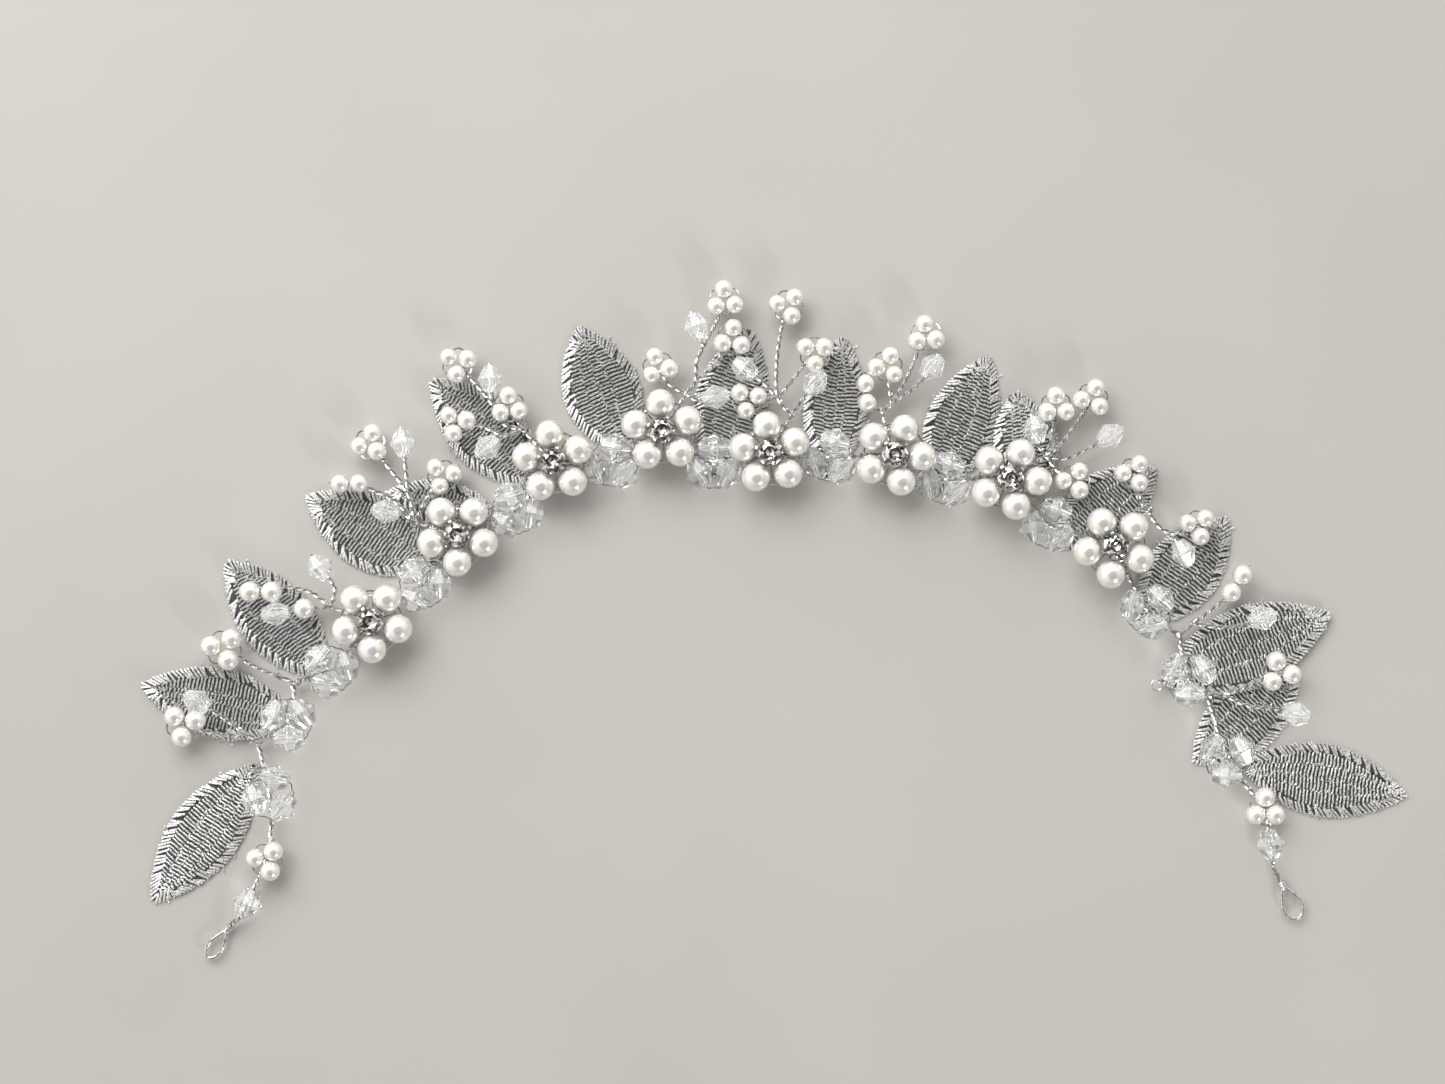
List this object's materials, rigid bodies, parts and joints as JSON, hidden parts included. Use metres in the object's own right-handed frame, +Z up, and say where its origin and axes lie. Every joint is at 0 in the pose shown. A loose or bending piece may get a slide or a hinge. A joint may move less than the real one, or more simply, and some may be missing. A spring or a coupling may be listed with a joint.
{
  "type": "bridal hair vine",
  "caption": "Flexible bridal tiara: silver wire vine of pearl flowers with claw-set stones, clear crystal clusters, bead sprays and silver lace leaves, an eye at each end.",
  "frame": {"origin": "middle of the vine's outline as it lies flat, on the plane that it rests on", "axes": "+Z up out of that plane, from the lace leaves to the stones; +Y from the two ends towards the crown's leaf tips; +X towards the right end"},
  "size_m": [0.2716, 0.1448, 0.0095],
  "materials": {
    "ivory_pearl": "pearlescent gloss",
    "clear_crystal": "faceted, polished",
    "rhinestone": "foiled stone in bright claws",
    "silver_lace": "metallic thread embroidery",
    "spray_beads": "pearl and clear beads on silver wire",
    "silver_wire": "bright, twisted"
  },
  "bodies": {
    "link_01": {"crystal_link_01": "clear_crystal"},
    "link_02": {"crystal_link_02": "clear_crystal"},
    "link_03": {"crystal_link_03": "clear_crystal"},
    "link_04": {"crystal_link_04": "clear_crystal", "pearl_flower_1": "ivory_pearl", "rhinestone_1": "rhinestone"},
    "link_05": {"crystal_link_05": "clear_crystal", "pearl_flower_2": "ivory_pearl", "rhinestone_2": "rhinestone"},
    "link_06": {"crystal_link_06": "clear_crystal", "pearl_flower_3": "ivory_pearl", "rhinestone_3": "rhinestone"},
    "crown": {"crystal_link_07": "clear_crystal", "pearl_flower_4": "ivory_pearl", "rhinestone_4": "rhinestone", "pearl_flower_5": "ivory_pearl", "rhinestone_5": "rhinestone"},
    "link_08": {"crystal_link_08": "clear_crystal", "pearl_flower_6": "ivory_pearl", "rhinestone_6": "rhinestone"},
    "link_09": {"crystal_link_09": "clear_crystal", "pearl_flower_7": "ivory_pearl", "rhinestone_7": "rhinestone", "leaf_10": "silver_lace"},
    "link_10": {"crystal_link_10": "clear_crystal", "pearl_flower_8": "ivory_pearl", "rhinestone_8": "rhinestone"},
    "link_11": {"crystal_link_11": "clear_crystal"},
    "link_12": {"crystal_link_12": "clear_crystal", "leaf_13": "silver_lace"},
    "link_13": {"crystal_link_13": "clear_crystal"},
    "leaf_01": {"leaf_01": "silver_lace"},
    "leaf_02": {"leaf_02": "silver_lace"},
    "leaf_03": {"leaf_03": "silver_lace"},
    "leaf_04": {"leaf_04": "silver_lace"},
    "leaf_05": {"leaf_05": "silver_lace"},
    "leaf_06": {"leaf_06": "silver_lace"},
    "leaf_07": {"leaf_07": "silver_lace"},
    "leaf_08": {"leaf_08": "silver_lace"},
    "leaf_09": {"leaf_09": "silver_lace"},
    "leaf_11": {"leaf_11": "silver_lace"},
    "leaf_12": {"leaf_12": "silver_lace"},
    "leaf_14": {"leaf_14": "silver_lace"},
    "leaf_15": {"leaf_15": "silver_lace"},
    "spray_01": {"spray_01": "spray_beads"},
    "spray_02": {"spray_02": "spray_beads"},
    "spray_03": {"spray_03": "spray_beads"},
    "spray_04": {"spray_04": "spray_beads"},
    "spray_05": {"spray_05": "spray_beads"},
    "spray_06": {"spray_06": "spray_beads"},
    "spray_07": {"spray_07": "spray_beads"},
    "spray_08": {"spray_08": "spray_beads"},
    "spray_09": {"spray_09": "spray_beads"},
    "spray_10": {"spray_10": "spray_beads"},
    "spray_11": {"spray_11": "spray_beads"},
    "spray_12": {"spray_12": "spray_beads"},
    "end_left": {"end_loop_left": "silver_wire"},
    "crystal_left": {"end_crystal_left": "clear_crystal"},
    "end_right": {"end_loop_right": "silver_wire"},
    "crystal_right": {"end_crystal_right": "clear_crystal"}
  },
  "joints": [
    {"name": "bend_01", "type": "hinge", "parent": "link_01", "child": "end_left", "pos_m": [-0.1069, -0.044, 0.0026], "axis": [1, 0, 0], "range_deg": [0, 12]},
    {"name": "bend_02", "type": "hinge", "parent": "link_02", "child": "link_01", "pos_m": [-0.1091, -0.0283, 0.0026], "axis": [0.9962, 0.0872, 0], "range_deg": [0, 12]},
    {"name": "bend_03", "type": "hinge", "parent": "link_03", "child": "link_02", "pos_m": [-0.102, -0.0155, 0.0026], "axis": [0.9397, -0.342, 0], "range_deg": [0, 12]},
    {"name": "bend_04", "type": "hinge", "parent": "link_04", "child": "link_03", "pos_m": [-0.0904, -0.0062, 0.0026], "axis": [0.7547, -0.6561, 0], "range_deg": [0, 12]},
    {"name": "bend_05", "type": "hinge", "parent": "link_05", "child": "link_04", "pos_m": [-0.0716, 0.0117, 0.0026], "axis": [0.766, -0.6428, 0], "range_deg": [0, 12]},
    {"name": "bend_06", "type": "hinge", "parent": "link_06", "child": "link_05", "pos_m": [-0.0516, 0.0273, 0.0026], "axis": [0.6428, -0.766, 0], "range_deg": [0, 12]},
    {"name": "bend_07", "type": "hinge", "parent": "crown", "child": "link_06", "pos_m": [-0.0304, 0.0358, 0.0026], "axis": [0.4226, -0.9063, 0], "range_deg": [0, 12]},
    {"name": "bend_08", "type": "hinge", "parent": "crown", "child": "link_08", "pos_m": [0.0076, 0.035, 0.0026], "axis": [0.0872, 0.9962, 0], "range_deg": [0, 12]},
    {"name": "bend_09", "type": "hinge", "parent": "link_08", "child": "link_09", "pos_m": [0.033, 0.0316, 0.0026], "axis": [0.3907, 0.9205, 0], "range_deg": [0, 12]},
    {"name": "bend_10", "type": "hinge", "parent": "link_09", "child": "link_10", "pos_m": [0.0557, 0.024, 0.0026], "axis": [0.6428, 0.766, 0], "range_deg": [0, 12]},
    {"name": "bend_11", "type": "hinge", "parent": "link_10", "child": "link_11", "pos_m": [0.0765, 0.0082, 0.0026], "axis": [0.682, 0.7314, 0], "range_deg": [0, 12]},
    {"name": "bend_12", "type": "hinge", "parent": "link_11", "child": "link_12", "pos_m": [0.087, -0.0055, 0.0026], "axis": [0.788, 0.6157, 0], "range_deg": [0, 12]},
    {"name": "bend_13", "type": "hinge", "parent": "link_12", "child": "link_13", "pos_m": [0.0934, -0.0183, 0.0026], "axis": [0.7431, 0.6691, 0], "range_deg": [0, 12]},
    {"name": "bend_14", "type": "hinge", "parent": "link_13", "child": "end_right", "pos_m": [0.1008, -0.0349, 0.0026], "axis": [0.9397, 0.342, 0], "range_deg": [0, 12]},
    {"name": "leaf_01_curl", "type": "hinge", "parent": "link_01", "child": "leaf_01", "pos_m": [-0.1101, -0.0304, 0.00025], "axis": [0.7986, -0.6018, 0], "range_deg": [0, 25]},
    {"name": "leaf_02_curl", "type": "hinge", "parent": "link_02", "child": "leaf_02", "pos_m": [-0.1005, -0.0219, 0.00025], "axis": [-0.225, -0.9744, 0], "range_deg": [0, 25]},
    {"name": "leaf_03_curl", "type": "hinge", "parent": "link_03", "child": "leaf_03", "pos_m": [-0.095, -0.0127, 0.00025], "axis": [-0.7547, -0.6561, 0], "range_deg": [0, 25]},
    {"name": "leaf_04_curl", "type": "hinge", "parent": "link_04", "child": "leaf_04", "pos_m": [-0.0712, 0.0107, 0.00025], "axis": [-0.4848, -0.8746, 0], "range_deg": [0, 25]},
    {"name": "leaf_05_curl", "type": "hinge", "parent": "link_05", "child": "leaf_05", "pos_m": [-0.0489, 0.0282, 0.00025], "axis": [-0.6947, -0.7193, 0], "range_deg": [0, 25]},
    {"name": "leaf_06_curl", "type": "hinge", "parent": "link_06", "child": "leaf_06", "pos_m": [-0.0311, 0.0342, 0.00025], "axis": [-0.9397, -0.342, 0], "range_deg": [0, 25]},
    {"name": "leaf_07_curl", "type": "hinge", "parent": "crown", "child": "leaf_07", "pos_m": [-0.013, 0.0301, 0.00025], "axis": [-0.9703, 0.2419, 0], "range_deg": [0, 25]},
    {"name": "leaf_08_curl", "type": "hinge", "parent": "link_08", "child": "leaf_08", "pos_m": [0.0118, 0.0295, 0.00025], "axis": [-0.9945, 0.1045, 0], "range_deg": [0, 25]},
    {"name": "leaf_09_curl", "type": "hinge", "parent": "link_09", "child": "leaf_09", "pos_m": [0.0342, 0.0265, 0.00025], "axis": [-0.9272, 0.3746, 0], "range_deg": [0, 25]},
    {"name": "leaf_11_curl", "type": "hinge", "parent": "link_10", "child": "leaf_11", "pos_m": [0.0603, 0.0155, 0.00025], "axis": [-0.6157, 0.788, 0], "range_deg": [0, 25]},
    {"name": "leaf_12_curl", "type": "hinge", "parent": "link_11", "child": "leaf_12", "pos_m": [0.0779, -0.0015, 0.00025], "axis": [-0.766, 0.6428, 0], "range_deg": [0, 25]},
    {"name": "leaf_14_curl", "type": "hinge", "parent": "link_13", "child": "leaf_14", "pos_m": [0.09, -0.0307, 0.00025], "axis": [-0.6691, 0.7431, 0], "range_deg": [0, 25]},
    {"name": "leaf_15_curl", "type": "hinge", "parent": "link_13", "child": "leaf_15", "pos_m": [0.0996, -0.0308, 0.00025], "axis": [0.184, 0.9829, 0], "range_deg": [0, 25]},
    {"name": "spray_01_lift", "type": "hinge", "parent": "link_02", "child": "spray_01", "pos_m": [-0.1118, -0.0244, 0.0026], "axis": [0.342, 0.9397, 0], "range_deg": [0, 25]},
    {"name": "spray_02_lift", "type": "hinge", "parent": "link_03", "child": "spray_02", "pos_m": [-0.1043, -0.0122, 0.0026], "axis": [0.454, 0.891, 0], "range_deg": [0, 25]},
    {"name": "spray_03_lift", "type": "hinge", "parent": "link_04", "child": "spray_03", "pos_m": [-0.0936, 0.0028, 0.0026], "axis": [0.2588, 0.9659, 0], "range_deg": [0, 25]},
    {"name": "spray_04_lift", "type": "hinge", "parent": "link_05", "child": "spray_04", "pos_m": [-0.0756, 0.0209, 0.0026], "axis": [0.8192, 0.5736, 0], "range_deg": [0, 12]},
    {"name": "spray_05_lift", "type": "hinge", "parent": "link_06", "child": "spray_05", "pos_m": [-0.0528, 0.0403, 0.0026], "axis": [0.6428, 0.766, 0], "range_deg": [0, 25]},
    {"name": "spray_06_lift", "type": "hinge", "parent": "crown", "child": "spray_06", "pos_m": [-0.0187, 0.0479, 0.0026], "axis": [0.9659, -0.2588, 0], "range_deg": [0, 25]},
    {"name": "spray_07_lift", "type": "hinge", "parent": "crown", "child": "spray_07", "pos_m": [0.0038, 0.0434, 0.0026], "axis": [0.9962, -0.0872, 0], "range_deg": [0, 25]},
    {"name": "spray_08_lift", "type": "hinge", "parent": "link_08", "child": "spray_08", "pos_m": [0.0235, 0.044, 0.0026], "axis": [0.9962, 0.0872, 0], "range_deg": [0, 25]},
    {"name": "spray_09_lift", "type": "hinge", "parent": "link_09", "child": "spray_09", "pos_m": [0.0578, 0.0348, 0.0026], "axis": [0.866, -0.5, 0], "range_deg": [0, 15]},
    {"name": "spray_10_lift", "type": "hinge", "parent": "link_10", "child": "spray_10", "pos_m": [0.0797, 0.0229, 0.0026], "axis": [0.866, -0.5, 0], "range_deg": [0, 20]},
    {"name": "spray_11_lift", "type": "hinge", "parent": "link_11", "child": "spray_11", "pos_m": [0.0892, -0.0009, 0.0026], "axis": [0.4226, -0.9063, 0], "range_deg": [0, 25]},
    {"name": "spray_12_lift", "type": "hinge", "parent": "link_12", "child": "spray_12", "pos_m": [0.0956, -0.0157, 0.0026], "axis": [-0.0872, -0.9962, 0], "range_deg": [0, 25]},
    {"name": "crystal_left_spin", "type": "hinge", "parent": "end_left", "child": "crystal_left", "pos_m": [-0.1118, -0.06, 0.0034], "axis": [-0.4024, -0.9155, 0], "continuous": true},
    {"name": "crystal_right_spin", "type": "hinge", "parent": "end_right", "child": "crystal_right", "pos_m": [0.1059, -0.0476, 0.0034], "axis": [0.1432, -0.9897, 0], "continuous": true}
  ]
}
